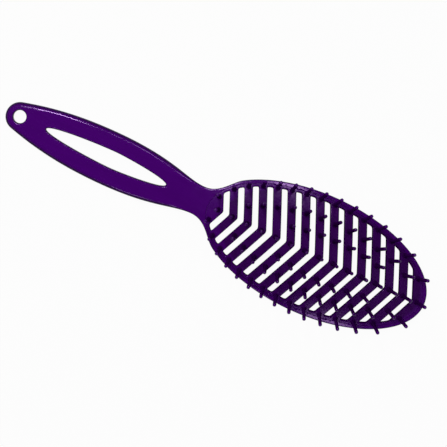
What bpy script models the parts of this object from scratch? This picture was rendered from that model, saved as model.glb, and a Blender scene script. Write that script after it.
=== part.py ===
"""Oval vent brush, lying on its back with the pins up.

The brush is two mouldings. The handle frame is stiff: a flat handle with a hanging hole and a long
window, a neck, and an oval hoop. The pin lattice springs into a groove inside the hoop: chevron ribs
with vents between them, and a row of pins on every rib. Both are modelled flat, the way they are
drawn, and are then carried onto the arched head by on_brush().

Metres, +Z up. +X runs from the handle to the tip, and the brush lies on the plane Z = 0.
"""
import math

import bmesh
import bpy
from mathutils import Matrix, Vector
from mathutils.geometry import interpolate_bezier

# The whole brush, seen from above
HANDLE_LENGTH = 0.1126
HEAD_LENGTH = 0.1274
HEAD_WIDTH = 0.0636

# The handle: a rounded end, the widest place of the grip, and the neck
END_RADIUS = 0.0076
GRIP_WIDTH = 0.0282
GRIP_SETBACK = 0.0585
NECK_WIDTH = 0.0157
NECK_SETBACK = 0.0038
HANDLE_THICKNESS = 0.0075
HOLE_DIAMETER = 0.0068
HOLE_SETBACK = 0.0075
WINDOW_SETBACK = 0.0224
WINDOW_LENGTH = 0.0683
WINDOW_WIDTH = 0.0088
WINDOW_WIDEST = 0.0380
WINDOW_END_WIDTH = 0.0028

# The hoop round the head, the soft rounding of the grip's edge and the finer one of every other edge
HOOP_WIDTH = 0.0022
HOOP_DEPTH = 0.0050
GRIP_EDGE_RADIUS = 0.0023
EDGE_RADIUS = 0.0008

# The head's arch, along the brush and across it, and the rise of the neck up to it
LONG_RADIUS = 0.370
CROSS_RADIUS = 0.102
RISE_LENGTH = 0.0226

# The lattice, its snap bead and the room the bead has in the hoop's groove
SEAT_GAP = 0.0003
LATTICE_SINK = 0.0002
LATTICE_THICKNESS = 0.0026
LATTICE_BORDER = 0.0012
BEAD_DROP = 0.0016
BEAD_HEIGHT = 0.0012
BEAD_REACH = 0.0007

# Ribs and vents, with the room kept between the last row and the tip
FIRST_ROW_SETBACK = 0.0083
ROW_PITCH = 0.0082
LAST_ROW_ROOM = 0.0040
SWEEP = math.radians(23)
VENT_WIDTH = 0.0033
VENT_CORNER = 0.0007

# Pins: the steps from the rim pin inward along a rib's arm, and the room kept round the pin at its point
PIN_STEPS = (0.0101, 0.0085)
PIN_ROOM = 0.0075
RIM_PIN_SETBACK = 0.0002
POINT_PIN_SETBACK = 0.0005
PIN_LENGTH = 0.0160
PIN_DIAMETER = 0.0019
PIN_ROOT_DIAMETER = 0.0028
PIN_ROOT_HEIGHT = 0.0026
PIN_SEAT = 0.0008

# How finely round things are faceted, and how near two points are to count as one
OVAL_STEPS = 88
STRETCH_STEPS = 10
END_STEPS = 7
HOLE_STEPS = 20
ARM_STEP = 0.0085
PIN_SIDES = 8
PIN_TIP_STEPS = 2
EDGE_STEPS = 2
MERGE_DISTANCE = 0.00001
WALL_MATCH = 0.0005
UPRIGHT = 0.1

# The slope of the sides where the rounded end meets them, and the angle on the oval where the neck joins
END_TURN = math.radians(15.6)
HEAD_JOIN_TURN = math.radians(142)

# Where a cubic curve's handles lie, as shares of the stretch that they shape, and the flat crest of the bead
GRIP_IN_SHARES = (0.32, 0.38)
GRIP_OUT_SHARES = (0.60, 0.20)
NECK_OUT_SHARES = (0.50, 0.30)
WINDOW_SHARES = (0.27, 0.18)
BEAD_CREST_SHARE = 0.5

END_X = -(HANDLE_LENGTH + HEAD_LENGTH) / 2
TIP_X = END_X + HANDLE_LENGTH + HEAD_LENGTH
HEAD_X = TIP_X - HEAD_LENGTH / 2
HEAD_BACK_X = TIP_X - HEAD_LENGTH
RISE_X = HEAD_BACK_X - RISE_LENGTH
ROWS = 1 + int((HEAD_LENGTH - FIRST_ROW_SETBACK - LAST_ROW_ROOM) / ROW_PITCH)


def crown_x():
    """The top of the long arch, set so that the tip of the hoop touches the ground as the handle does."""
    drop = 2 * LONG_RADIUS * (HOOP_DEPTH - HANDLE_THICKNESS)
    reach = RISE_LENGTH + 2 * HEAD_LENGTH
    return (drop + HEAD_BACK_X * RISE_LENGTH + TIP_X ** 2 - HEAD_BACK_X ** 2) / reach


def ridge(x):
    """Height and slope of the top face on the brush's middle line."""
    top = crown_x()
    back_slope = (top - HEAD_BACK_X) / LONG_RADIUS
    if x <= RISE_X:
        return HANDLE_THICKNESS, 0.0
    if x <= HEAD_BACK_X:
        slope = back_slope * (x - RISE_X) / RISE_LENGTH
        return HANDLE_THICKNESS + slope * (x - RISE_X) / 2, slope
    back_height = HANDLE_THICKNESS + back_slope * RISE_LENGTH / 2
    fall = ((x - top) ** 2 - (HEAD_BACK_X - top) ** 2) / (2 * LONG_RADIUS)
    return back_height - fall, (top - x) / LONG_RADIUS


def head_share(x):
    """0 on the handle, 1 on the head, and an even blend along the neck."""
    share = min(max((x - RISE_X) / RISE_LENGTH, 0.0), 1.0)
    return share * share * (3 - 2 * share)


def top_face(x, y):
    """The point of the top face over (x, y), and the direction square to it."""
    height, slope = ridge(x)
    arch = head_share(x)
    point = Vector((x, y, height - arch * y * y / (2 * CROSS_RADIUS)))
    return point, Vector((-slope, arch * y / CROSS_RADIUS, 1)).normalized()


def on_brush(flat):
    """Carry a point of the flat drawing, whose top face is Z = 0, onto the arched brush."""
    point, upward = top_face(flat.x, flat.y)
    thickening = 1 + (1 - head_share(flat.x)) * (HANDLE_THICKNESS / HOOP_DEPTH - 1)
    return point + upward * flat.z * thickening


def oval(inset, turn):
    """The point at an angle round the head's oval, drawn in by an inset."""
    across = (HEAD_LENGTH / 2 - inset) * math.cos(turn), (HEAD_WIDTH / 2 - inset) * math.sin(turn)
    return HEAD_X + across[0], across[1]


def oval_outline(inset):
    return [oval(inset, math.tau * step / OVAL_STEPS) for step in range(OVAL_STEPS)]


def stretch(start, start_pull, end, end_pull, steps=STRETCH_STEPS):
    """Points along a cubic curve from start up to end, which is left for the next stretch."""
    corners = [Vector((x, y, 0)) for x, y in (start, start_pull, end_pull, end)]
    curve = interpolate_bezier(corners[0], corners[1], corners[2], corners[3], steps + 1)
    return [(point.x, point.y) for point in curve[:-1]]


def mirrored(half):
    """Close a half outline that starts and ends on the middle line."""
    return half + [(x, -y) for x, y in reversed(half[1:-1])]


def frame_outline():
    """The handle's end, sides and neck as curves, and the head as the oval itself."""
    end = [(END_X + END_RADIUS * (1 - math.cos(turn)), END_RADIUS * math.sin(turn))
           for turn in (step * (math.pi / 2 - END_TURN) / END_STEPS for step in range(END_STEPS))]
    side = (END_X + END_RADIUS * (1 - math.sin(END_TURN)), END_RADIUS * math.cos(END_TURN))
    grip = (END_X + GRIP_SETBACK, GRIP_WIDTH / 2)
    neck = (HEAD_BACK_X - NECK_SETBACK, NECK_WIDTH / 2)
    head = oval(0, HEAD_JOIN_TURN)

    reach = grip[0] - side[0]
    rear = reach * GRIP_IN_SHARES[0]
    end += stretch(side, (side[0] + rear, side[1] + rear * math.tan(END_TURN)),
                   grip, (grip[0] - reach * GRIP_IN_SHARES[1], grip[1]))
    reach = neck[0] - grip[0]
    end += stretch(grip, (grip[0] + reach * GRIP_OUT_SHARES[0], grip[1]),
                   neck, (neck[0] - reach * GRIP_OUT_SHARES[1], neck[1]))
    reach = head[0] - neck[0]
    lean = -HEAD_WIDTH * math.cos(HEAD_JOIN_TURN) / (HEAD_LENGTH * math.sin(HEAD_JOIN_TURN))
    ahead = reach * NECK_OUT_SHARES[1]
    end += stretch(neck, (neck[0] + reach * NECK_OUT_SHARES[0], neck[1]),
                   head, (head[0] - ahead, head[1] - ahead * lean))

    turns = [math.tau * step / OVAL_STEPS for step in range(OVAL_STEPS // 2 + 1)]
    end += [oval(0, turn) for turn in reversed(turns) if turn <= HEAD_JOIN_TURN]
    return mirrored(end)


def window_outline():
    """The long lens through the handle: a sharp end at the back and a blunt one at the neck."""
    back = (END_X + WINDOW_SETBACK, 0)
    widest = (back[0] + WINDOW_WIDEST, WINDOW_WIDTH / 2)
    blunt = (back[0] + WINDOW_LENGTH, 0)
    reach = widest[0] - back[0]
    points = stretch(back, (back[0], WINDOW_END_WIDTH),
                     widest, (widest[0] - reach * WINDOW_SHARES[0], widest[1]))
    reach = blunt[0] - widest[0]
    points += stretch(widest, (widest[0] + reach * WINDOW_SHARES[1], widest[1]),
                      blunt, (blunt[0], WINDOW_END_WIDTH))
    return mirrored(points + [blunt])


def hole_outline():
    centre, radius = END_X + HOLE_SETBACK, HOLE_DIAMETER / 2
    turns = [math.tau * step / HOLE_STEPS for step in range(HOLE_STEPS)]
    return [(centre + radius * math.cos(turn), radius * math.sin(turn)) for turn in turns]


def row_x(row):
    """Where the chevron of a pin row has its point."""
    return HEAD_BACK_X + FIRST_ROW_SETBACK + row * ROW_PITCH


def arm_reach(point_x, inset):
    """How far a chevron's arm runs from its point to the oval drawn in by an inset."""
    length, width = HEAD_LENGTH / 2 - inset, HEAD_WIDTH / 2 - inset
    back, side = math.sin(SWEEP) / length, math.cos(SWEEP) / width
    start = (point_x - HEAD_X) / length
    square = back * back + side * side
    return (start * back + math.sqrt((start * back) ** 2 - square * (start * start - 1))) / square


def on_arm(point_x, along):
    return point_x - along * math.sin(SWEEP), along * math.cos(SWEEP)


def eased(before, corner, after, cut):
    """Three points that round a corner off."""
    corner = Vector(corner)
    start = corner + (Vector(before) - corner).normalized() * cut
    end = corner + (Vector(after) - corner).normalized() * cut
    return [tuple(start), tuple((start + end + 2 * corner) / 4), tuple(end)]


def vent_outline(row):
    """The vent ahead of a pin row: a chevron band whose ends follow the lattice's border."""
    inset = HOOP_WIDTH + SEAT_GAP + LATTICE_BORDER
    width = VENT_WIDTH / math.cos(SWEEP)
    rear_x = row_x(row) + (ROW_PITCH - width) / 2
    front_x = rear_x + width
    rear, front = arm_reach(rear_x, inset), arm_reach(front_x, inset)
    steps = max(round(rear / ARM_STEP), 1)
    rear_arm = [on_arm(rear_x, rear * step / steps) for step in range(steps + 1)]
    steps = max(round(front / ARM_STEP), 1)
    front_arm = [on_arm(front_x, front * step / steps) for step in range(steps, -1, -1)]
    middle_x = (rear_arm[-1][0] + front_arm[0][0]) / 2
    length, width = HEAD_LENGTH / 2 - inset, HEAD_WIDTH / 2 - inset
    middle = (middle_x, width * math.sqrt(1 - ((middle_x - HEAD_X) / length) ** 2))

    below = (rear_arm[1][0], -rear_arm[1][1])
    half = eased(below, rear_arm[0], rear_arm[1], VENT_CORNER)[1:]
    half += rear_arm[1:-1]
    half += eased(rear_arm[-2], rear_arm[-1], middle, VENT_CORNER)
    half.append(middle)
    half += eased(middle, front_arm[0], front_arm[1], VENT_CORNER)
    half += front_arm[1:-1]
    below = (front_arm[-2][0], -front_arm[-2][1])
    half += eased(front_arm[-2], front_arm[-1], below, VENT_CORNER)[:2]
    return mirrored(half)


def flat_plate(name, edge, holes, thickness):
    """A flat plate with holes, top face at Z = 0, from outlines in the XY plane."""
    curve = bpy.data.curves.new(name, "CURVE")
    curve.dimensions = "2D"
    curve.fill_mode = "BOTH"
    curve.extrude = thickness / 2
    for outline in [edge] + holes:
        spline = curve.splines.new("POLY")
        spline.points.add(len(outline) - 1)
        for point, place in zip(spline.points, outline):
            point.co = (place[0], place[1], 0, 1)
        spline.use_cyclic_u = True
    drawing = bpy.data.objects.new(name, curve)
    bpy.context.scene.collection.objects.link(drawing)
    solid = as_evaluated(drawing)
    bmesh.ops.translate(solid, vec=(0, 0, -thickness / 2), verts=solid.verts)
    bmesh.ops.remove_doubles(solid, verts=solid.verts, dist=MERGE_DISTANCE)
    bmesh.ops.recalc_face_normals(solid, faces=solid.faces)
    return solid


def as_evaluated(made):
    """The shape of an object with its modifiers, after which the object is removed."""
    view = bpy.context.evaluated_depsgraph_get()
    mesh = bpy.data.meshes.new_from_object(made.evaluated_get(view))
    bpy.data.objects.remove(made)
    solid = bmesh.new()
    solid.from_mesh(mesh)
    bpy.data.meshes.remove(mesh)
    return solid


def round_edges(solid, widest, radius_at):
    """Round a plate's top and bottom edges with a Bevel that follows the bevel weight of each edge."""
    weight = solid.edges.layers.float.new("bevel_weight_edge")
    for edge in solid.edges:
        flat_faces = [face for face in edge.link_faces if abs(face.normal.z) > 1 - UPRIGHT]
        if len(flat_faces) == 1:
            edge[weight] = radius_at((edge.verts[0].co + edge.verts[1].co) / 2) / widest
    mesh = bpy.data.meshes.new("sharp_plate")
    solid.to_mesh(mesh)
    solid.free()
    plate = bpy.data.objects.new("sharp_plate", mesh)
    bpy.context.scene.collection.objects.link(plate)
    rounding = plate.modifiers.new("rounding", "BEVEL")
    rounding.limit_method = "WEIGHT"
    rounding.width = widest
    rounding.segments = EDGE_STEPS
    rounding.use_clamp_overlap = False
    rounding.loop_slide = False
    return with_new_caps(as_evaluated(plate))


def with_new_caps(solid):
    """Fill the flat top and bottom again, because their old triangles don't suit the drawn-in edge."""
    heights = [vertex.co.z for vertex in solid.verts]
    caps = [face for face in solid.faces if abs(face.normal.z) > 1 - UPRIGHT / 10]
    bmesh.ops.delete(solid, geom=caps, context="FACES")
    for level in (max(heights), min(heights)):
        rim = [edge for edge in solid.edges
               if edge.is_boundary and abs(edge.verts[0].co.z - level) < MERGE_DISTANCE]
        bmesh.ops.triangle_fill(solid, edges=rim, use_beauty=True)
    bmesh.ops.recalc_face_normals(solid, faces=solid.faces)
    return solid


def counterclockwise(outline):
    """The outline turned so that the plate lies on its left."""
    area = sum(a[0] * b[1] - b[0] * a[1] for a, b in zip(outline, outline[1:] + outline[:1]))
    return outline if area > 0 else outline[::-1]


def as_hole(outline):
    return counterclockwise(outline)[::-1]


def swell_wall(solid, inset, half_height, reach):
    """Draw a bead out of the wall that stands on an oval: four cuts round it, the middle two pulled outward."""
    length, width = HEAD_LENGTH / 2 - inset, HEAD_WIDTH / 2 - inset
    middle = -LATTICE_SINK - BEAD_DROP
    crest = half_height * BEAD_CREST_SHARE

    def on_oval(place):
        off = math.hypot((place.x - HEAD_X) / length, place.y / width) - 1
        return abs(off) * width < WALL_MATCH

    for level in (-half_height, -crest, crest, half_height):
        wall = [face for face in solid.faces
                if abs(face.normal.z) < UPRIGHT and on_oval(face.calc_center_median())]
        geometry = set(wall)
        for face in wall:
            geometry.update(face.edges)
            geometry.update(face.verts)
        bmesh.ops.bisect_plane(solid, geom=list(geometry), dist=MERGE_DISTANCE,
                               plane_co=(0, 0, middle + level), plane_no=(0, 0, 1))
    for vertex in solid.verts:
        if abs(vertex.co.z - middle) < (crest + half_height) / 2 and on_oval(vertex.co):
            outward = Vector(((vertex.co.x - HEAD_X) / length ** 2, vertex.co.y / width ** 2, 0))
            vertex.co += outward.normalized() * reach


def purple_plastic(name, roughness):
    material = bpy.data.materials.new(name)
    material.use_nodes = True
    shader = material.node_tree.nodes["Principled BSDF"]
    shader.inputs["Base Color"].default_value = (0.05, 0.0015, 0.127, 1)
    shader.inputs["Roughness"].default_value = roughness
    shader.inputs["Metallic"].default_value = 0
    return material


def as_object(name, solid, collection, material):
    mesh = bpy.data.meshes.new(name)
    solid.to_mesh(mesh)
    solid.free()
    mesh.shade_smooth()
    mesh.set_sharp_from_angle(angle=math.radians(35))
    mesh.materials.append(material)
    made = bpy.data.objects.new(name, mesh)
    collection.objects.link(made)
    return made


def frame_edge_radius(place):
    """Soft on the grip's outer edge, and fine round the hoop, the window and the hole."""
    from_end = place.x - END_X
    in_window = abs(place.y) <= WINDOW_WIDTH / 2 and 0 <= from_end - WINDOW_SETBACK <= WINDOW_LENGTH
    in_hole = math.hypot(from_end - HOLE_SETBACK, place.y) <= HOLE_DIAMETER / 2
    if in_window or in_hole:
        return EDGE_RADIUS
    return GRIP_EDGE_RADIUS + head_share(place.x) * (EDGE_RADIUS - GRIP_EDGE_RADIUS)


def make_handle_frame(collection):
    """The stiff moulding, with the groove that holds the lattice."""
    opening = oval_outline(HOOP_WIDTH)
    holes = [as_hole(outline) for outline in (opening, window_outline(), hole_outline())]
    solid = flat_plate("handle_frame", counterclockwise(frame_outline()), holes, HOOP_DEPTH)
    solid = round_edges(solid, GRIP_EDGE_RADIUS, frame_edge_radius)
    swell_wall(solid, HOOP_WIDTH, BEAD_HEIGHT / 2 + SEAT_GAP, BEAD_REACH + SEAT_GAP)
    for vertex in solid.verts:
        vertex.co = on_brush(vertex.co)
    return as_object("handle_frame", solid, collection, purple_plastic("handle_plastic", 0.18))


def pin_profile():
    """Half section of a pin, from the middle of its rounded tip down to the foot of its flared root."""
    radius, root = PIN_DIAMETER / 2, PIN_ROOT_DIAMETER / 2
    turns = [step * math.pi / 2 / PIN_TIP_STEPS for step in range(PIN_TIP_STEPS + 1)]
    tip = [(radius * math.sin(turn), PIN_LENGTH - radius + radius * math.cos(turn)) for turn in turns]
    return tip + [(radius, PIN_ROOT_HEIGHT), (root, 0), (root, -PIN_SEAT), (0, -PIN_SEAT)]


def pin_mesh():
    """One pin turned about +Z with a Screw modifier, its root on Z = 0."""
    profile = pin_profile()
    mesh = bpy.data.meshes.new("pin")
    mesh.from_pydata([(radius, 0, height) for radius, height in profile],
                     [(step, step + 1) for step in range(len(profile) - 1)], [])
    pin = bpy.data.objects.new("pin", mesh)
    bpy.context.scene.collection.objects.link(pin)
    turning = pin.modifiers.new("turning", "SCREW")
    turning.steps = turning.render_steps = PIN_SIDES
    turning.use_merge_vertices = True
    turning.merge_threshold = MERGE_DISTANCE
    view = bpy.context.evaluated_depsgraph_get()
    turned = bpy.data.meshes.new_from_object(pin.evaluated_get(view))
    bpy.data.objects.remove(pin)
    return turned


def pin_places():
    """Every pin's foot on the flat drawing: one at each chevron's point, the rest stepped in from the rim."""
    foot_inset = HOOP_WIDTH + SEAT_GAP + LATTICE_BORDER + RIM_PIN_SETBACK
    places = []
    for row in range(ROWS):
        places.append((row_x(row) - POINT_PIN_SETBACK, 0.0))
        along = arm_reach(row_x(row), foot_inset)
        for step in PIN_STEPS + (math.inf,):
            x, y = on_arm(row_x(row), along)
            places += [(x, y), (x, -y)]
            along -= step
            if along < PIN_ROOM:
                break
    return places


def make_pins(collection, material):
    """All the pins as one tool that the lattice is joined to, each square to the arched face."""
    shape = pin_mesh()
    solid = bmesh.new()
    for x, y in pin_places():
        point, upward = top_face(x, y)
        stand = Vector((0, 0, 1)).rotation_difference(upward).to_matrix().to_4x4()
        before = len(solid.verts)
        solid.from_mesh(shape)
        solid.verts.ensure_lookup_table()
        foot = Matrix.Translation(point - upward * LATTICE_SINK)
        bmesh.ops.transform(solid, matrix=foot @ stand, verts=solid.verts[before:])
    pins = as_object("pin_tool", solid, collection, material)
    pins.hide_render = True
    pins.display_type = "WIRE"
    return pins


def make_pin_lattice(collection, tools):
    """The springy moulding: border with its snap bead, chevron ribs, and the pins moulded on them."""
    inset = HOOP_WIDTH + SEAT_GAP
    vents = [as_hole(vent_outline(row)) for row in range(ROWS - 1)]
    solid = flat_plate("pin_lattice", oval_outline(inset), vents, LATTICE_THICKNESS)
    bmesh.ops.translate(solid, vec=(0, 0, -LATTICE_SINK), verts=solid.verts)
    swell_wall(solid, inset, BEAD_HEIGHT / 2, BEAD_REACH)
    for vertex in solid.verts:
        vertex.co = on_brush(vertex.co)
    material = purple_plastic("pin_plastic", 0.25)
    lattice = as_object("pin_lattice", solid, collection, material)
    joining = lattice.modifiers.new("pins", "BOOLEAN")
    joining.operation = "UNION"
    joining.object = make_pins(tools, material)
    return lattice


def main():
    for existing in list(bpy.data.objects):
        bpy.data.objects.remove(existing)
    brush = bpy.data.collections.new("oval_vent_brush")
    tools = bpy.data.collections.new("tools")
    bpy.context.scene.collection.children.link(brush)
    bpy.context.scene.collection.children.link(tools)
    make_handle_frame(brush)
    make_pin_lattice(brush, tools)


main()
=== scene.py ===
# %% [markdown]
# # An oval vent brush in glossy purple plastic
#
# This lesson dresses a hair brush that was built and measured first as a plain, faceted model. The real brush
# is two plastic mouldings. The stiff one is a flat handle that runs through a neck into an oval hoop. The
# springy one is a lattice of chevron ribs, with 83 pins moulded on it, that snaps into the hoop. Both are
# made again here with fine, rounded edges, because a glossy edge is what the eye reads first on dark plastic.
#
# Everything is in metres. +X runs from the handle to the tip, and +Z is the way the pins point.

# %% Load the plain model
import math

import bmesh
import bpy
from mathutils import Matrix, Vector
from mathutils.geometry import interpolate_bezier


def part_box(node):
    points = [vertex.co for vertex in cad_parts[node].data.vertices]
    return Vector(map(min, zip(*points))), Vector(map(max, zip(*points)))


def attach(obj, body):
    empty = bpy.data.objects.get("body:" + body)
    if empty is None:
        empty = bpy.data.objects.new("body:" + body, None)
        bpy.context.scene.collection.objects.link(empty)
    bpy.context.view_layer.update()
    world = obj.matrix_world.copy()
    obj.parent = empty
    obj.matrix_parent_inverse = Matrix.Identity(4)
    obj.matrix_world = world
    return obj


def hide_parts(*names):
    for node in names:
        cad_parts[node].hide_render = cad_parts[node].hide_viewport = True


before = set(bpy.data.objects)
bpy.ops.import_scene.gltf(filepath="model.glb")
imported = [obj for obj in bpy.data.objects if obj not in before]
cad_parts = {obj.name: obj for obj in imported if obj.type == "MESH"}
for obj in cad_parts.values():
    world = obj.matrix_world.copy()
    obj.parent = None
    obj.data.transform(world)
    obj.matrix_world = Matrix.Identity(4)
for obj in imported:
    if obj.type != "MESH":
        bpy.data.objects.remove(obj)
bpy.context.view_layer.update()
frame_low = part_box("handle_frame")[0]
print("nodes:", sorted(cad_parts))

# %% [markdown]
# ## The sizes of the drawing
#
# A moulding like this is designed as a flat drawing, and the head is then arched. The names below are the
# sizes of that drawing. The brush's length is taken from the plain model, so the two can't drift apart.

# %% Sizes of the handle and the hoop
END_X, TIP_X = frame_low[0], -frame_low[0]
HEAD_LENGTH = 0.1274
HEAD_WIDTH = 0.0636
HEAD_X = TIP_X - HEAD_LENGTH / 2
HEAD_BACK_X = TIP_X - HEAD_LENGTH
END_RADIUS = 0.0076
END_TURN = math.radians(15.6)
GRIP_WIDTH, GRIP_SETBACK = 0.0282, 0.0585
NECK_WIDTH, NECK_SETBACK = 0.0157, 0.0038
HEAD_JOIN_TURN = math.radians(142)
HANDLE_THICKNESS, HOOP_DEPTH = 0.0075, 0.0050
HOLE_DIAMETER, HOLE_SETBACK = 0.0068, 0.0075
WINDOW_SETBACK, WINDOW_LENGTH = 0.0224, 0.0683
WINDOW_WIDTH, WINDOW_WIDEST, WINDOW_END_WIDTH = 0.0088, 0.0380, 0.0028
HOOP_WIDTH = 0.0022

# %% Sizes of the arch
LONG_RADIUS, CROSS_RADIUS = 0.370, 0.102
RISE_LENGTH = 0.0226
RISE_X = HEAD_BACK_X - RISE_LENGTH

# %% Sizes of the lattice and its pins
LATTICE_THICKNESS, LATTICE_BORDER, LATTICE_SINK = 0.0026, 0.00145, 0.0001
SEAM = 0.00005
FIRST_ROW_SETBACK, ROW_PITCH, ROWS = 0.0083, 0.0082, 15
SWEEP = math.radians(23)
VENT_WIDTH, VENT_CORNER = 0.0031, 0.0009
PIN_STEPS, PIN_ROOM = (0.0101, 0.0085), 0.0075
RIM_PIN_INSET, POINT_PIN_SETBACK = 0.0039, 0.0005
PIN_LENGTH, PIN_DIAMETER = 0.0160, 0.0019
PIN_ROOT_DIAMETER, PIN_ROOT_HEIGHT, PIN_SEAT = 0.0030, 0.0026, 0.0007

# %% [markdown]
# ## The arch of the head
#
# Seen from the side, the head is a shallow arch that starts in the neck and comes back down at the tip.
# Across the brush it is a tighter arch. Two shallow parabolas are enough for both. The formula gives the
# height of the top face over any point, and the direction square to it, which the pins need as well.

# %% Height and slope of the top face
def crown_x():
    """Where the long arch is highest, so that the tip comes down to the table."""
    drop = 2 * LONG_RADIUS * (HOOP_DEPTH - HANDLE_THICKNESS)
    reach = RISE_LENGTH + 2 * HEAD_LENGTH
    return (drop + HEAD_BACK_X * RISE_LENGTH + TIP_X ** 2 - HEAD_BACK_X ** 2) / reach


def ridge(x):
    """Height and slope of the top face along the brush's middle line."""
    back_slope = (crown_x() - HEAD_BACK_X) / LONG_RADIUS
    if x <= RISE_X:
        return HANDLE_THICKNESS, 0.0
    if x <= HEAD_BACK_X:
        slope = back_slope * (x - RISE_X) / RISE_LENGTH
        return HANDLE_THICKNESS + slope * (x - RISE_X) / 2, slope
    back_height = HANDLE_THICKNESS + back_slope * RISE_LENGTH / 2
    fall = ((x - crown_x()) ** 2 - (HEAD_BACK_X - crown_x()) ** 2) / (2 * LONG_RADIUS)
    return back_height - fall, (crown_x() - x) / LONG_RADIUS


def head_share(x):
    """0 on the handle, 1 on the head, and a smooth blend along the neck."""
    share = min(max((x - RISE_X) / RISE_LENGTH, 0.0), 1.0)
    return share * share * (3 - 2 * share)


def top_face(x, y):
    """The point of the top face over (x, y), and the direction square to it."""
    height, slope = ridge(x)
    arch = head_share(x)
    point = Vector((x, y, height - arch * y * y / (2 * CROSS_RADIUS)))
    return point, Vector((-slope, arch * y / CROSS_RADIUS, 1)).normalized()


def thickening(x):
    """The handle is thicker than the hoop, which is the depth that both are drawn at."""
    return 1 + (1 - head_share(x)) * (HANDLE_THICKNESS / HOOP_DEPTH - 1)


print("top of the arch at x =", round(crown_x(), 4), "m, height", round(ridge(crown_x())[0], 4), "m")

# %% [markdown]
# ## Drawing the outlines
#
# An outline here is a list of points, close enough together to look round. Ovals come from sine and cosine.
# The handle's sides are cubic curves, each shaped by two pulls, which are shares of the stretch's length.

# %% Ovals and cubic stretches
OVAL_STEPS, STRETCH_STEPS, END_STEPS, HOLE_STEPS = 300, 40, 18, 48


def oval(inset, turn):
    """The point at an angle round the head's oval, drawn in by an inset."""
    length, width = HEAD_LENGTH / 2 - inset, HEAD_WIDTH / 2 - inset
    return HEAD_X + length * math.cos(turn), width * math.sin(turn)


def oval_outline(inset):
    return [oval(inset, math.tau * step / OVAL_STEPS) for step in range(OVAL_STEPS)]


def stretch(start, start_pull, end_pull, end):
    """Points along a cubic curve from start up to end, which is left for the next stretch."""
    corners = [Vector((x, y, 0)) for x, y in (start, start_pull, end_pull, end)]
    curve = interpolate_bezier(corners[0], corners[1], corners[2], corners[3], STRETCH_STEPS + 1)
    return [(point.x, point.y) for point in curve[:-1]]


def mirrored(half):
    """Close a half outline that starts and ends on the middle line."""
    return half + [(x, -y) for x, y in reversed(half[1:-1])]


# %% The handle frame's outline
GRIP_IN_SHARES, GRIP_OUT_SHARES, NECK_OUT_SHARES = (0.32, 0.38), (0.60, 0.20), (0.50, 0.30)


def frame_outline():
    """Rounded end, swelling grip and waisted neck, and then the head's oval."""
    turns = [step * (math.pi / 2 - END_TURN) / END_STEPS for step in range(END_STEPS)]
    points = [(END_X + END_RADIUS * (1 - math.cos(turn)), END_RADIUS * math.sin(turn)) for turn in turns]
    side = (END_X + END_RADIUS * (1 - math.sin(END_TURN)), END_RADIUS * math.cos(END_TURN))
    grip = (END_X + GRIP_SETBACK, GRIP_WIDTH / 2)
    neck = (HEAD_BACK_X - NECK_SETBACK, NECK_WIDTH / 2)
    head = oval(0, HEAD_JOIN_TURN)

    reach = grip[0] - side[0]
    rear = reach * GRIP_IN_SHARES[0]
    points += stretch(side, (side[0] + rear, side[1] + rear * math.tan(END_TURN)),
                      (grip[0] - reach * GRIP_IN_SHARES[1], grip[1]), grip)
    reach = neck[0] - grip[0]
    points += stretch(grip, (grip[0] + reach * GRIP_OUT_SHARES[0], grip[1]),
                      (neck[0] - reach * GRIP_OUT_SHARES[1], neck[1]), neck)
    reach = head[0] - neck[0]
    lean = -HEAD_WIDTH * math.cos(HEAD_JOIN_TURN) / (HEAD_LENGTH * math.sin(HEAD_JOIN_TURN))
    ahead = reach * NECK_OUT_SHARES[1]
    points += stretch(neck, (neck[0] + reach * NECK_OUT_SHARES[0], neck[1]),
                      (head[0] - ahead, head[1] - ahead * lean), head)

    turns = [math.tau * step / OVAL_STEPS for step in range(OVAL_STEPS // 2 + 1)]
    points += [oval(0, turn) for turn in reversed(turns) if turn <= HEAD_JOIN_TURN]
    return mirrored(points)


# %% The openings in the handle
WINDOW_SHARES = (0.27, 0.18)


def window_outline():
    """The long lens through the grip: sharper at the back, blunter by the neck."""
    back = (END_X + WINDOW_SETBACK, 0)
    widest = (back[0] + WINDOW_WIDEST, WINDOW_WIDTH / 2)
    blunt = (back[0] + WINDOW_LENGTH, 0)
    rear, ahead = (widest[0] - back[0]) * WINDOW_SHARES[0], (blunt[0] - widest[0]) * WINDOW_SHARES[1]
    points = stretch(back, (back[0], WINDOW_END_WIDTH), (widest[0] - rear, widest[1]), widest)
    points += stretch(widest, (widest[0] + ahead, widest[1]), (blunt[0], WINDOW_END_WIDTH), blunt)
    return mirrored(points + [blunt])


def hole_outline():
    turns = [math.tau * step / HOLE_STEPS for step in range(HOLE_STEPS)]
    centre, radius = END_X + HOLE_SETBACK, HOLE_DIAMETER / 2
    return [(centre + radius * math.cos(turn), radius * math.sin(turn)) for turn in turns]


print("points in the handle frame's outline:", len(frame_outline()))

# %% [markdown]
# ## From an outline to a rounded plate
#
# In Blender a plate like this starts as circles. Each circle's corners are moved onto an outline, all of them
# are joined, and Fill makes the face between the edge and the holes. Extrude gives it depth. The rounding is a
# Bevel modifier. Its width follows each edge's bevel weight, so one plate can have a soft, finger-friendly
# edge round the grip and a fine one round the thin hoop.

# %% Select one piece, and apply its modifiers
def deselect_all():
    for selected in list(bpy.context.selected_objects):
        selected.select_set(False)


def make_active(piece):
    deselect_all()
    piece.select_set(True)
    bpy.context.view_layer.objects.active = piece


def apply_modifier(piece, modifier):
    make_active(piece)
    bpy.ops.object.modifier_apply(modifier=modifier.name)


# %% Draw, fill and extrude
def drawn_loop(name, outline):
    """A circle whose corners are moved onto an outline."""
    deselect_all()
    bpy.ops.mesh.primitive_circle_add(vertices=len(outline), radius=HEAD_WIDTH)
    loop = bpy.context.object
    loop.name = name
    for vertex, place in zip(loop.data.vertices, outline):
        vertex.co = (place[0], place[1], 0)
    return loop


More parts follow.
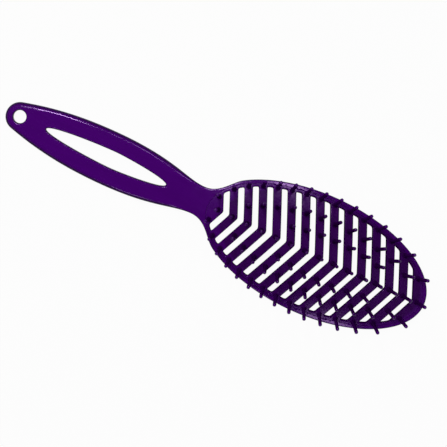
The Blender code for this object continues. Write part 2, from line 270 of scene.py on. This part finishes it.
def cut_plate(name, edge, holes, depth):
    """A flat plate with holes, its top face on Z = 0."""
    loops = [drawn_loop(name, outline) for outline in [edge] + holes]
    deselect_all()
    for loop in loops:
        loop.select_set(True)
    bpy.context.view_layer.objects.active = loops[0]
    bpy.ops.object.join()
    plate = bpy.context.object
    plate.name = plate.data.name = name
    bpy.ops.object.mode_set(mode="EDIT")
    bpy.ops.mesh.select_all(action="SELECT")
    bpy.ops.mesh.fill(use_beauty=True)
    bpy.ops.mesh.select_all(action="SELECT")
    bpy.ops.mesh.extrude_region_move(TRANSFORM_OT_translate={"value": (0, 0, -depth)})
    bpy.ops.mesh.select_all(action="SELECT")
    bpy.ops.mesh.normals_make_consistent(inside=False)
    bpy.ops.object.mode_set(mode="OBJECT")
    return plate


# %% Round the edges
RIM_ANGLE = math.radians(60)
LEVEL, TINY = 0.0001, 0.00001


def round_edges(plate, widest, width_at, segments):
    """Bevel the top and bottom edges, each as wide as width_at says for the middle of the edge."""
    mesh = plate.data
    up_faces = {}
    for face in mesh.polygons:
        for key in face.edge_keys:
            up_faces.setdefault(key, []).append(abs(face.normal.z))
    weights = mesh.attributes.new("bevel_weight_edge", "FLOAT", "EDGE")
    for edge in mesh.edges:
        flatness = up_faces[edge.key]
        if max(flatness) > math.cos(RIM_ANGLE) > min(flatness):
            first, second = (mesh.vertices[corner].co for corner in edge.vertices)
            if abs(first.z - second.z) < LEVEL:
                weights.data[edge.index].value = width_at((first + second) / 2) / widest
    bevel = plate.modifiers.new("rounded edges", "BEVEL")
    bevel.limit_method = "WEIGHT"
    bevel.width = widest
    bevel.segments = segments
    bevel.use_clamp_overlap = False
    bevel.loop_slide = False
    apply_modifier(plate, bevel)
    fill_caps_again(plate)


def fill_caps_again(plate):
    """The flat faces' old triangles don't suit the drawn-in edge, so both are filled anew."""
    make_active(plate)
    heights = [vertex.co.z for vertex in plate.data.vertices]
    bpy.ops.object.mode_set(mode="EDIT")
    for level in (max(heights), min(heights)):
        cap = bmesh.from_edit_mesh(plate.data)
        for face in cap.faces:
            face.select_set(all(abs(corner.co.z - level) < TINY for corner in face.verts))
        bmesh.update_edit_mesh(plate.data)
        bpy.ops.mesh.delete(type="FACE")
        rim = bmesh.from_edit_mesh(plate.data)
        for edge in rim.edges:
            on_level = all(abs(corner.co.z - level) < TINY for corner in edge.verts)
            edge.select_set(edge.is_boundary and on_level)
        bmesh.update_edit_mesh(plate.data)
        bpy.ops.mesh.fill(use_beauty=True)
    bpy.ops.mesh.select_all(action="SELECT")
    bpy.ops.mesh.normals_make_consistent(inside=False)
    bpy.ops.object.mode_set(mode="OBJECT")


# %% Cut a plate into small cells, so that it can bend, and arch it
CELL = 0.003
FLAT = 0.999    # how far a flat face's normal points up or down, at the least


def cut_cells(plate):
    """Slice both flat faces across and along, so that their long triangles can follow the arch.

    The rounded strips are hidden from the cuts, which would break their highlights up.
    """
    low = [min(vertex.co[axis] for vertex in plate.data.vertices) for axis in (0, 1)]
    high = [max(vertex.co[axis] for vertex in plate.data.vertices) for axis in (0, 1)]
    make_active(plate)
    for face in plate.data.polygons:
        face.select = abs(face.normal.z) > FLAT
    bpy.ops.object.mode_set(mode="EDIT")
    bpy.ops.mesh.hide(unselected=True)
    for axis in (0, 1):
        square_to = (1, 0, 0) if axis == 0 else (0, 1, 0)
        for step in range(1, int((high[axis] - low[axis]) / CELL) + 1):
            place = Vector(square_to) * (low[axis] + step * CELL)
            bpy.ops.mesh.select_all(action="SELECT")
            bpy.ops.mesh.bisect(plane_co=place, plane_no=square_to)
    bpy.ops.mesh.reveal(select=False)
    bpy.ops.object.mode_set(mode="OBJECT")


def arch(plate):
    """Carry every point of the flat drawing onto the arched brush."""
    for vertex in plate.data.vertices:
        point, upward = top_face(vertex.co.x, vertex.co.y)
        vertex.co = point + upward * vertex.co.z * thickening(vertex.co.x)


# %% [markdown]
# ## The handle frame
#
# The grip's edges are well rounded, about 2.3 mm, and this is what makes the long highlight run a little
# inside its outline. The hoop is 2.2 mm wide, so it only takes 0.8 mm, and so do the window and the hole.

# %% Make the handle frame
GRIP_EDGE, FINE_EDGE, SEAM_EDGE = 0.0023, 0.0008, 0.0001
EDGE_SEGMENTS = 6


def is_outside(place):
    """True on the handle's own edge, and false on the hoop and round the window and the hole."""
    if place.x > HEAD_BACK_X:
        return False
    along_window = place.x - END_X - WINDOW_SETBACK
    in_window = abs(place.y) <= WINDOW_WIDTH / 2 and -LEVEL < along_window < WINDOW_LENGTH + LEVEL
    in_hole = math.hypot(place.x - END_X - HOLE_SETBACK, place.y) < HOLE_DIAMETER / 2 + LEVEL
    return not (in_window or in_hole)


def on_seam(place):
    """True where the hoop and the lattice's border meet."""
    length, width = HEAD_LENGTH / 2 - HOOP_WIDTH, HEAD_WIDTH / 2 - HOOP_WIDTH
    return abs(math.hypot((place.x - HEAD_X) / length, place.y / width) - 1) * width < LEVEL


def frame_edge(place):
    """How wide the frame's edge is rounded at a place. It thins out along the neck."""
    if on_seam(place):
        return SEAM_EDGE
    if not is_outside(place):
        return FINE_EDGE
    return FINE_EDGE + (1 - head_share(place.x)) * (GRIP_EDGE - FINE_EDGE)


handle = cut_plate("handle_and_hoop", frame_outline(),
                   [oval_outline(HOOP_WIDTH), window_outline(), hole_outline()], HOOP_DEPTH)
round_edges(handle, GRIP_EDGE, frame_edge, EDGE_SEGMENTS)
cut_cells(handle)
arch(handle)
print("handle frame:", len(handle.data.polygons), "faces")

# %% [markdown]
# ## The lattice
#
# Each pin row stands on a chevron rib, and between the ribs the plate is cut away in chevron vents. A vent is
# two straight arms that meet on the middle line. Its ends follow the hoop, and its corners are eased. The vents
# are holes in the same kind of plate as the handle's, so the same four functions make it.

# %% The vents
ARM_STEP = 0.003
CORNER_STEPS = 4


def row_x(row):
    return HEAD_BACK_X + FIRST_ROW_SETBACK + row * ROW_PITCH


def arm_reach(point_x, inset):
    """How far a chevron's arm runs from its point to the oval drawn in by an inset."""
    length, width = HEAD_LENGTH / 2 - inset, HEAD_WIDTH / 2 - inset
    back, side = math.sin(SWEEP) / length, math.cos(SWEEP) / width
    start = (point_x - HEAD_X) / length
    square = back * back + side * side
    return (start * back + math.sqrt((start * back) ** 2 - square * (start * start - 1))) / square


def on_arm(point_x, along):
    return point_x - along * math.sin(SWEEP), along * math.cos(SWEEP)


def eased(before, corner, after):
    """Points that round a corner off."""
    corner = Vector(corner)
    start = corner + (Vector(before) - corner).normalized() * VENT_CORNER
    end = corner + (Vector(after) - corner).normalized() * VENT_CORNER
    shares = [step / CORNER_STEPS for step in range(CORNER_STEPS + 1)]
    return [tuple(start.lerp(corner, share).lerp(corner.lerp(end, share), share)) for share in shares]


def vent_outline(row):
    """The vent ahead of a pin row, starting at its rear point."""
    inset = HOOP_WIDTH + SEAM + LATTICE_BORDER
    width = VENT_WIDTH / math.cos(SWEEP)
    rear_x = row_x(row) + (ROW_PITCH - width) / 2
    front_x = rear_x + width
    rear, front = arm_reach(rear_x, inset), arm_reach(front_x, inset)
    steps = max(round(rear / ARM_STEP), 2)
    rear_arm = [on_arm(rear_x, rear * step / steps) for step in range(steps + 1)]
    steps = max(round(front / ARM_STEP), 2)
    front_arm = [on_arm(front_x, front * step / steps) for step in range(steps, -1, -1)]
    middle_x = (rear_arm[-1][0] + front_arm[0][0]) / 2
    length, across = HEAD_LENGTH / 2 - inset, HEAD_WIDTH / 2 - inset
    middle = (middle_x, across * math.sqrt(1 - ((middle_x - HEAD_X) / length) ** 2))

    middle_step = CORNER_STEPS // 2
    below = (rear_arm[1][0], -rear_arm[1][1])
    half = eased(below, rear_arm[0], rear_arm[1])[middle_step:]
    half += rear_arm[1:-1] + eased(rear_arm[-2], rear_arm[-1], middle)
    half += [middle] + eased(middle, front_arm[0], front_arm[1])
    below = (front_arm[-2][0], -front_arm[-2][1])
    half += front_arm[1:-1] + eased(front_arm[-2], front_arm[-1], below)[:middle_step + 1]
    return mirrored(half)


# %% Make the ribbed plate
RIB_EDGE = 0.0004
RIB_SEGMENTS = 4


def rib_edge(place):
    """Fine where the border meets the hoop, and softer round the vents."""
    return SEAM_EDGE if on_seam(place) else RIB_EDGE


lattice = cut_plate("pin_lattice_fine", oval_outline(HOOP_WIDTH + SEAM),
                    [vent_outline(row) for row in range(ROWS - 1)], LATTICE_THICKNESS)
round_edges(lattice, RIB_EDGE, rib_edge, RIB_SEGMENTS)
cut_cells(lattice)
for vertex in lattice.data.vertices:
    vertex.co.z -= LATTICE_SINK
arch(lattice)
print("ribbed plate:", len(lattice.data.polygons), "faces")

# %% [markdown]
# ## The pins
#
# One pin is a circle that is extruded upward and scaled at each step, the way a potter would draw it: a flared
# root, a straight shank and a round tip. The pins are copies of it. Each stands square to the arched face,
# so they fan out, and a Boolean union then moulds them and the ribs into one piece. Where a pin's side just
# touches an edge of the ribs, the union leaves edges of almost no length, and Merge by Distance takes them out.

# %% Model one pin
PIN_SIDES = 16
ROOT_STEPS, TIP_STEPS = 5, 5


def pin_rings():
    """Height and radius of each ring, from the sunk foot to the tip."""
    shank, root = PIN_DIAMETER / 2, PIN_ROOT_DIAMETER / 2
    rings = [(-PIN_SEAT, root)]
    for step in range(ROOT_STEPS + 1):
        turn = step / ROOT_STEPS * math.pi / 2
        rings.append((PIN_ROOT_HEIGHT * (1 - math.cos(turn)), root - (root - shank) * math.sin(turn)))
    for step in range(TIP_STEPS + 1):
        turn = step / (TIP_STEPS + 1) * math.pi / 2
        rings.append((PIN_LENGTH - shank + shank * math.sin(turn), shank * math.cos(turn)))
    return rings


def model_pin():
    rings = pin_rings()
    deselect_all()
    bpy.ops.mesh.primitive_circle_add(vertices=PIN_SIDES, radius=rings[0][1], fill_type="NGON",
                                      location=(0, 0, 0))
    pin = bpy.context.object
    pin.name = "pin"
    bpy.ops.object.mode_set(mode="EDIT")
    bpy.ops.mesh.select_all(action="SELECT")
    bpy.ops.transform.translate(value=(0, 0, rings[0][0]))
    for (height, radius), (next_height, next_radius) in zip(rings, rings[1:]):
        bpy.ops.mesh.extrude_region_move(TRANSFORM_OT_translate={"value": (0, 0, next_height - height)})
        scale = next_radius / radius
        bpy.ops.transform.resize(value=(scale, scale, 1))
    bpy.ops.mesh.poke(offset=PIN_LENGTH - rings[-1][0])
    bpy.ops.mesh.select_all(action="SELECT")
    bpy.ops.mesh.normals_make_consistent(inside=False)
    bpy.ops.object.mode_set(mode="OBJECT")
    return pin


def pin_places():
    """Every pin's foot: one at each chevron's point, and the rest stepped in from the rim."""
    places = []
    for row in range(ROWS):
        places.append((row_x(row) - POINT_PIN_SETBACK, 0.0))
        along = arm_reach(row_x(row), RIM_PIN_INSET)
        for step in PIN_STEPS + (math.inf,):
            x, y = on_arm(row_x(row), along)
            places += [(x, y), (x, -y)]
            along -= step
            if along < PIN_ROOM:
                break
    return places


# %% Copy the pin to every place
def stand_pins(pin):
    pins = []
    for x, y in pin_places():
        point, upward = top_face(x, y)
        copy = pin.copy()
        copy.data = pin.data.copy()
        bpy.context.scene.collection.objects.link(copy)
        lean = Vector((0, 0, 1)).rotation_difference(upward).to_matrix().to_4x4()
        copy.data.transform(Matrix.Translation(point - upward * LATTICE_SINK) @ lean)
        pins.append(copy)
    bpy.data.objects.remove(pin)
    deselect_all()
    for copy in pins:
        copy.select_set(True)
    bpy.context.view_layer.objects.active = pins[0]
    bpy.ops.object.join()
    return bpy.context.object


pins = stand_pins(model_pin())
print("pins:", len(pin_places()))

# %% Mould the pins to the ribs
SHORTEST_EDGE = 0.000002

moulding = lattice.modifiers.new("pins", "BOOLEAN")
moulding.operation = "UNION"
moulding.solver = "MANIFOLD"
moulding.object = pins
apply_modifier(lattice, moulding)
bpy.data.objects.remove(pins)

make_active(lattice)
bpy.ops.object.mode_set(mode="EDIT")
bpy.ops.mesh.select_all(action="SELECT")
bpy.ops.mesh.remove_doubles(threshold=SHORTEST_EDGE)
bpy.ops.mesh.select_all(action="DESELECT")
bpy.ops.object.mode_set(mode="OBJECT")
print("lattice with pins:", len(lattice.data.polygons), "faces")

# %% Smooth shading
SMOOTH_ANGLE = math.radians(40)


def smooth(piece):
    """Shade smooth, with the flat faces kept flat right up to their rounded edges."""
    make_active(piece)
    bpy.ops.object.shade_smooth_by_angle(angle=SMOOTH_ANGLE)
    weighted = piece.modifiers.new("flat faces", "WEIGHTED_NORMAL")
    weighted.keep_sharp = True
    apply_modifier(piece, weighted)


smooth(handle)
smooth(lattice)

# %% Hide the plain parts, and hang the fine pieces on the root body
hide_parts("handle_frame")
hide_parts("pin_lattice")
for piece, slot in ((handle, "handle_frame"), (lattice, "pin_lattice")):
    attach(piece, "root")

# %% [markdown]
# ## Glossy plastic, coloured right through
#
# Both mouldings are one dark purple plastic with no paint on it, so the colour has no edges and no pattern.
# What tells the eye that it is real are faint things: flow streaks along the moulding, a slight orange-peel
# from the polished mould, cloudy patches of wear and hair-fine scratches from use. They are the same on every
# face, so they are one node group, and each plastic places it with its own colours and amounts. The group
# works on Object coordinates, in metres, so a scale of 400 has a patch about every 2.5 mm.

# %% A few short ways to write nodes
def new_node(tree, kind, **settings):
    """Add a node. A setting is a number of an input socket, or a name of one of the node's own options."""
    node = tree.nodes.new("ShaderNode" + kind)
    for name, value in settings.items():
        if name in node.bl_rna.properties:
            setattr(node, name, value)
        else:
            node.inputs[name.replace("_", " ")].default_value = value
    return node


def join_up(tree, start, start_socket, end, end_socket):
    tree.links.new(start.outputs[start_socket], end.inputs[end_socket])


# %% The node group, and its sockets
surface = bpy.data.node_groups.new("moulded_surface", "ShaderNodeTree")
SURFACE_INPUTS = (("Place", "NodeSocketVector"), ("Colour", "NodeSocketColor"),
                  ("Streak Colour", "NodeSocketColor"), ("Roughness", "NodeSocketFloat"),
                  ("Cloud", "NodeSocketFloat"), ("Scratches", "NodeSocketFloat"), ("Peel", "NodeSocketFloat"))
SURFACE_OUTPUTS = (("Colour", "NodeSocketColor"), ("Roughness", "NodeSocketFloat"),
                   ("Height", "NodeSocketFloat"))
for name, kind in SURFACE_INPUTS:
    surface.interface.new_socket(name, in_out="INPUT", socket_type=kind)
for name, kind in SURFACE_OUTPUTS:
    surface.interface.new_socket(name, in_out="OUTPUT", socket_type=kind)
taken = surface.nodes.new("NodeGroupInput")
given = surface.nodes.new("NodeGroupOutput")

# %% Flow streaks in the colour
ALONG_THE_BRUSH = (30, 240, 240)

streak_map = new_node(surface, "Mapping", Scale=ALONG_THE_BRUSH)
streaks = new_node(surface, "TexNoise", Scale=1.0, Detail=3.0, Roughness=0.6)
streak_mix = new_node(surface, "Mix", data_type="RGBA")
join_up(surface, taken, "Place", streak_map, "Vector")
join_up(surface, streak_map, "Vector", streaks, "Vector")
join_up(surface, streaks, "Fac", streak_mix, "Factor")
surface.links.new(taken.outputs["Colour"], streak_mix.inputs[6])
surface.links.new(taken.outputs["Streak Colour"], streak_mix.inputs[7])
surface.links.new(streak_mix.outputs[2], given.inputs["Colour"])

# %% Two sets of hair-fine scratches
LONG_HAIRS, CROSS_HAIRS = (70, 4200, 900), (110, 5200, 900)
CREST, FULL_CREST = 0.66, 0.74


def scratch_set(turn, stretch_scale):
    """Noise drawn out into thin lines, of which only the highest crests are kept."""
    lines_map = new_node(surface, "Mapping", Rotation=(0, 0, turn), Scale=stretch_scale)
    lines = new_node(surface, "TexNoise", Scale=1.0, Detail=1.0)
    crests = new_node(surface, "MapRange", From_Min=CREST, From_Max=FULL_CREST)
    join_up(surface, taken, "Place", lines_map, "Vector")
    join_up(surface, lines_map, "Vector", lines, "Vector")
    join_up(surface, lines, "Fac", crests, "Value")
    return crests


long_lines = scratch_set(math.radians(8), LONG_HAIRS)
cross_lines = scratch_set(math.radians(-38), CROSS_HAIRS)
all_lines = new_node(surface, "Math", operation="MAXIMUM")
line_share = new_node(surface, "Math", operation="MULTIPLY")
surface.links.new(long_lines.outputs["Result"], all_lines.inputs[0])
surface.links.new(cross_lines.outputs["Result"], all_lines.inputs[1])
surface.links.new(all_lines.outputs["Value"], line_share.inputs[0])
surface.links.new(taken.outputs["Scratches"], line_share.inputs[1])

# %% Cloudy roughness, with the scratches added to it
CLOUD_SCALE = 95.0

clouds = new_node(surface, "TexNoise", Scale=CLOUD_SCALE, Detail=4.0, Roughness=0.65)
cloud_swing = new_node(surface, "Math", operation="SUBTRACT")
cloud_swing.inputs[1].default_value = 0.5
cloud_amount = new_node(surface, "Math", operation="MULTIPLY")
with_clouds = new_node(surface, "Math", operation="ADD")
with_lines = new_node(surface, "Math", operation="ADD", use_clamp=True)
join_up(surface, taken, "Place", clouds, "Vector")
surface.links.new(clouds.outputs["Fac"], cloud_swing.inputs[0])
surface.links.new(cloud_swing.outputs["Value"], cloud_amount.inputs[0])
surface.links.new(taken.outputs["Cloud"], cloud_amount.inputs[1])
surface.links.new(cloud_amount.outputs["Value"], with_clouds.inputs[0])
surface.links.new(taken.outputs["Roughness"], with_clouds.inputs[1])
surface.links.new(with_clouds.outputs["Value"], with_lines.inputs[0])
surface.links.new(line_share.outputs["Value"], with_lines.inputs[1])
surface.links.new(with_lines.outputs["Value"], given.inputs["Roughness"])

# %% Orange-peel and scratches as height
PEEL_SCALE = 620.0

peel = new_node(surface, "TexNoise", Scale=PEEL_SCALE, Detail=2.0)
peel_share = new_node(surface, "Math", operation="MULTIPLY")
height = new_node(surface, "Math", operation="SUBTRACT")
join_up(surface, taken, "Place", peel, "Vector")
surface.links.new(peel.outputs["Fac"], peel_share.inputs[0])
surface.links.new(taken.outputs["Peel"], peel_share.inputs[1])
surface.links.new(peel_share.outputs["Value"], height.inputs[0])
surface.links.new(line_share.outputs["Value"], height.inputs[1])
surface.links.new(height.outputs["Value"], given.inputs["Height"])
print("moulded_surface:", len(surface.nodes), "nodes")

# %% [markdown]
# ## Four finishes of the one plastic
#
# The handle frame comes from a polished mould and is the glossiest, but its steep sides are drawn out of the
# mould and are duller. Their colour is darker too, as painted shade on the rounded edges that lean away from
# the light. The lattice's ribs are given a darker colour than its solid border, plate and crescent, which lie
# outside an oval round the ribs. Outside that oval the pins and the other steep faces of the lattice are given
# a lighter colour, a painted light that lifts their shade. The lattice is softer plastic. The pins come out of
# deep, narrow bores that can't be polished, so they are close to matt. A Bump node with a distance of two
# hundredths of a millimetre turns the group's height into a normal. Specular level is the same all over, so
# it is set on the shader itself.

# %% The plastic, and what its finishes differ in
BUMP_DISTANCE = 0.00002
GLOSS_TINT = (0.78, 0.45, 1.0)


def moulded_plastic(name, colour, streak_colour, roughness, gloss, amounts):
    """One finish of the plastic. Amounts are those of the group's clouds, scratches and orange-peel."""
    material = bpy.data.materials.new(name)
    material.use_nodes = True
    tree = material.node_tree
    shader = tree.nodes["Principled BSDF"]
    shader.inputs["Specular IOR Level"].default_value = gloss
    shader.inputs["Specular Tint"].default_value = (*GLOSS_TINT, 1)
    place = tree.nodes.new("ShaderNodeTexCoord")
    texture = tree.nodes.new("ShaderNodeGroup")
    texture.node_tree = surface
    bump = new_node(tree, "Bump", Strength=1.0, Distance=BUMP_DISTANCE)
    texture.inputs["Colour"].default_value = (*colour, 1)
    texture.inputs["Streak Colour"].default_value = (*streak_colour, 1)
    texture.inputs["Roughness"].default_value = roughness
    for socket, amount in amounts.items():
        texture.inputs[socket].default_value = amount
    join_up(tree, place, "Object", texture, "Place")
    join_up(tree, texture, "Colour", shader, "Base Color")
    join_up(tree, texture, "Roughness", shader, "Roughness")
    join_up(tree, texture, "Height", bump, "Height")
    join_up(tree, bump, "Normal", shader, "Normal")
    return material


# %% A lighter tint outside the oval that the ribs fill
RIB_OVAL_X, RIB_OVAL_LENGTH, RIB_OVAL_WIDTH = HEAD_X + 0.0033, 0.114, 0.057
TINT_FROM, TINT_FULL = 0.98, 1.01


def lighten_outside_ribs(material, tint):
    """Tint what lies outside the oval round the ribs: the solid plate, the crescent and the border, and on the
    steep finish a painted light that lifts the shade of the pins there. 1 is the reach of the oval, in its own
    radii.
    """
    tree = material.node_tree
    shader, place = tree.nodes["Principled BSDF"], tree.nodes["Texture Coordinate"]
    texture = shader.inputs["Base Color"].links[0].from_node
    oval_map = new_node(tree, "Mapping", vector_type="TEXTURE", Location=(RIB_OVAL_X, 0, 0),
                        Scale=(RIB_OVAL_LENGTH / 2, RIB_OVAL_WIDTH / 2, 1))
    flat = new_node(tree, "VectorMath", operation="MULTIPLY")
    flat.inputs[1].default_value = (1, 1, 0)
    reach = new_node(tree, "VectorMath", operation="LENGTH")
    outside = new_node(tree, "MapRange", From_Min=TINT_FROM, From_Max=TINT_FULL)
    tinted = new_node(tree, "Mix", data_type="RGBA", blend_type="MULTIPLY")
    tinted.inputs[7].default_value = (*tint, 1)
    join_up(tree, place, "Object", oval_map, "Vector")
    tree.links.new(oval_map.outputs["Vector"], flat.inputs[0])
    tree.links.new(flat.outputs["Vector"], reach.inputs[0])
    join_up(tree, reach, "Value", outside, "Value")
    join_up(tree, outside, "Result", tinted, "Factor")
    tree.links.new(texture.outputs["Colour"], tinted.inputs[6])
    tree.links.new(tinted.outputs[2], shader.inputs["Base Color"])


# %% The four finishes
polished = moulded_plastic("polished_plastic", (0.060, 0.0008, 0.150), (0.046, 0.0005, 0.118), 0.12, 0.6,
                           {"Cloud": 0.10, "Scratches": 0.12, "Peel": 0.5})
# The side finish's colour is half the polished one: painted shade on the handle's steep, rounded edges.
side_shaded_satin = moulded_plastic("side_satin_plastic", (0.030, 0.0006, 0.072), (0.024, 0.0005, 0.058), 0.3, 0.02,
                             {"Cloud": 0.12, "Scratches": 0.10, "Peel": 0.8})
rib_gloss = moulded_plastic("rib_gloss_plastic", (0.037, 0.0012, 0.083), (0.027, 0.0008, 0.065), 0.2, 0.4,
                            {"Cloud": 0.14, "Scratches": 0.10, "Peel": 0.8})
pin_satin = moulded_plastic("pin_satin_plastic", (0.034, 0.0006, 0.074), (0.025, 0.0005, 0.057), 0.4, 0.0,
                            {"Cloud": 0.15, "Scratches": 0.05, "Peel": 1.0})

# The ribs' colour is darker than the handle's; this tint gives the border, plate and crescent a lighter colour.
lighten_outside_ribs(rib_gloss, (1.5, 0.75, 1.65))
# On the pins and other steep faces outside the rib oval, this lighter tint is painted light that lifts their
# shade.
lighten_outside_ribs(pin_satin, (1.25, 1.0, 1.3))

# %% Put the finishes on, by the lean and the height of each face
SIDE_LEAN, TIP_LEAN = math.radians(34), math.radians(60)
PIN_ABOVE = 0.0002


def put_on(piece, level_finish, side_finish):
    """Steep faces take the side finish. On a pin, the round tip still counts as level."""
    piece.data.materials.clear()
    piece.data.materials.append(level_finish)
    piece.data.materials.append(side_finish)
    sides = 0
    for face in piece.data.polygons:
        point, upward = top_face(face.center.x, face.center.y)
        on_pin = (face.center - point).dot(upward) > PIN_ABOVE
        level = face.normal.dot(upward) > math.cos(TIP_LEAN if on_pin else SIDE_LEAN)
        face.material_index = 0 if level else 1
        sides += not level
    print(piece.name, "has", sides, "of", len(piece.data.polygons), "faces in", side_finish.name)


# The handle's faces leaning past SIDE_LEAN take the darker colour, a painted shade along its rounded edges.
put_on(handle, polished, side_shaded_satin)
put_on(lattice, rib_gloss, pin_satin)

# %% [markdown]
# ## The camera
#
# The photograph looks almost straight down. The brush runs down to the right at 25 degrees, and the pins lean
# away from one point, which gives the small tilts. So the camera starts straight above the brush's middle,
# is leaned and turned about that point, and is moved back along its own view. The focal length in pixels over
# the picture's width is the same share as the lens length over the sensor's width.

# %% The camera
AIM = Vector((0.00666, -0.00569, 0))
DISTANCE, FOCAL_PIXELS, PICTURE_PIXELS, SENSOR_MM = 1.0, 1912, 447, 36
LEAN_X, LEAN_Y, TURN = math.radians(2.49), math.radians(3.56), math.radians(-25.06)

stand = (Matrix.Rotation(-LEAN_X, 4, "X") @ Matrix.Rotation(-LEAN_Y, 4, "Y")
         @ Matrix.Rotation(-TURN, 4, "Z"))
bpy.ops.object.camera_add()
camera = bpy.context.object
camera.matrix_world = Matrix.Translation(AIM) @ stand @ Matrix.Translation((0, 0, DISTANCE))
camera.data.sensor_width = SENSOR_MM
camera.data.lens = FOCAL_PIXELS / PICTURE_PIXELS * SENSOR_MM
bpy.context.scene.camera = camera
print("camera at", tuple(round(value, 3) for value in camera.matrix_world.translation))

# %% [markdown]
# ## The lamps
#
# Dark gloss is lit by what it mirrors. Two wide soft boxes, left and right, give the even light that shows
# the colour as it is written. A glossy face would mirror them as a grey veil, so they are hidden from mirror
# rays, as a photographer hides a lamp with a polarising filter. Four small soft boxes make the highlights
# that are seen: a line on the handle's upper edge, a band on the rim above and one below, and a hairline on
# the handle's lower edge. A rounded edge mirrors a lamp only where it leans half way between the lamp and the
# camera, so each box is placed from the spot that shows it.

# %% Soft boxes
def towards(azimuth, elevation):
    """A direction from degrees: azimuth 0 is +X and 90 is +Y, and elevation 90 is straight up."""
    turn, rise = math.radians(azimuth), math.radians(elevation)
    return Vector((math.cos(turn) * math.cos(rise), math.sin(turn) * math.cos(rise), math.sin(rise)))


def soft_box(name, spot, direction, distance, size, radiance, roll=0):
    """An area lamp that faces a spot on the brush, and is as bright as its radiance from anywhere.

    Roll turns it about the line to that spot. An area lamp's power is its radiance times pi times its area.
    """
    bpy.ops.object.light_add(type="AREA", location=Vector(spot) + direction * distance)
    box = bpy.context.object
    box.name = name
    turned = Matrix.Rotation(math.radians(roll), 3, "Z").to_quaternion()
    box.rotation_euler = ((-direction).to_track_quat("-Z", "Y") @ turned).to_euler()
    box.data.shape = "RECTANGLE"
    box.data.size, box.data.size_y = size
    box.data.energy = radiance * math.pi * size[0] * size[1]
    print(name, "power", round(box.data.energy, 2), "W")
    return box


# %% Even light from the left, with a little from the right
EVEN_ELEVATION, EVEN_DISTANCE, EVEN_SIZE = 60, 1.2, (0.7, 0.7)

for name, azimuth, radiance in (("left_soft_box", 172, 4.7), ("right_soft_box", -4, 2.5)):
    box = soft_box(name, AIM, towards(azimuth, EVEN_ELEVATION), EVEN_DISTANCE, EVEN_SIZE, radiance)
    box.visible_glossy = False

# %% The boxes that gloss mirrors, each placed from the spot that shows it
soft_box("handle_strip", (-0.0965, 0.0105, 0.007), towards(106, 65), 0.5, (0.07, 0.14), 27)
soft_box("upper_rim_box", (0.026, 0.0265, 0.009), towards(90, 61), 1.0, (0.15, 0.125), 9, roll=38)
soft_box("lower_rim_box", (0.0756, -0.029, 0.008), towards(-63, 50.5), 1.0, (0.20, 0.12), 4.5)
soft_box("lower_strip", (-0.045, -0.0135, 0.005), towards(-84, 28), 1.0, (0.14, 0.12), 8)

# %% [markdown]
# ## The floor and the studio walls
#
# The floor is pale and lit by the same lamps, so it holds the brush's soft shadow. To look white in the picture
# without more light on the brush, it gives off a plain white of its own to the rays that come from the camera,
# and to mirrored and refracted ones, so that gloss shows the same floor. The walls are the world: white at
# eye height and dark overhead, because a bright ceiling would lie as a veil on every level face. They too are
# only seen and give no light, so the sides of the ribs and the pins keep the depth of the photograph.

# %% Rays that see, apart from rays that carry light
def seen_by_eye(tree):
    """A node that gives 1 to the camera's rays and to mirrored and refracted ones, and 0 to all others."""
    rays = tree.nodes.new("ShaderNodeLightPath")
    mirrored_or_bent = new_node(tree, "Math", operation="MAXIMUM")
    seen = new_node(tree, "Math", operation="MAXIMUM")
    tree.links.new(rays.outputs["Is Glossy Ray"], mirrored_or_bent.inputs[0])
    tree.links.new(rays.outputs["Is Transmission Ray"], mirrored_or_bent.inputs[1])
    tree.links.new(rays.outputs["Is Camera Ray"], seen.inputs[0])
    tree.links.new(mirrored_or_bent.outputs["Value"], seen.inputs[1])
    return seen


# %% The floor
FLOOR_SIZE, FLOOR_GREY, WHITE_SHARE = 6, 0.5, 0.96

bpy.ops.mesh.primitive_plane_add(size=FLOOR_SIZE)
floor = bpy.context.object
floor.name = "studio_floor"
white = bpy.data.materials.new("studio_white")
white.use_nodes = True
tree = white.node_tree
paper = tree.nodes["Principled BSDF"]
paper.inputs["Base Color"].default_value = (FLOOR_GREY, FLOOR_GREY, FLOOR_GREY, 1)
paper.inputs["Roughness"].default_value = 0.9
glow = new_node(tree, "Emission")
share = new_node(tree, "Math", operation="MULTIPLY")
share.inputs[1].default_value = WHITE_SHARE
blend = tree.nodes.new("ShaderNodeMixShader")
join_up(tree, seen_by_eye(tree), "Value", share, 0)
tree.links.new(share.outputs["Value"], blend.inputs[0])
tree.links.new(paper.outputs["BSDF"], blend.inputs[1])
tree.links.new(glow.outputs["Emission"], blend.inputs[2])
tree.links.new(blend.outputs["Shader"], tree.nodes["Material Output"].inputs["Surface"])
floor.data.materials.append(white)

# %% The walls
WHITE_UP_TO, DARK_FROM, CEILING = 0.12, 0.18, 0.01

world = bpy.data.worlds.new("studio_walls")
bpy.context.scene.world = world
world.use_nodes = True
tree = world.node_tree
direction = tree.nodes.new("ShaderNodeTexCoord")
parts = tree.nodes.new("ShaderNodeSeparateXYZ")
walls = new_node(tree, "MapRange", From_Min=WHITE_UP_TO, From_Max=DARK_FROM, To_Min=1.0, To_Max=CEILING)
join_up(tree, direction, "Generated", parts, "Vector")
join_up(tree, parts, "Z", walls, "Value")
strength = new_node(tree, "Math", operation="MULTIPLY")
join_up(tree, walls, "Result", strength, 0)
join_up(tree, seen_by_eye(tree), "Value", strength, 1)
join_up(tree, strength, "Value", tree.nodes["Background"], "Strength")
tree.nodes["Background"].inputs["Color"].default_value = (1, 1, 1, 1)
bpy.context.scene.view_settings.view_transform = "Standard"
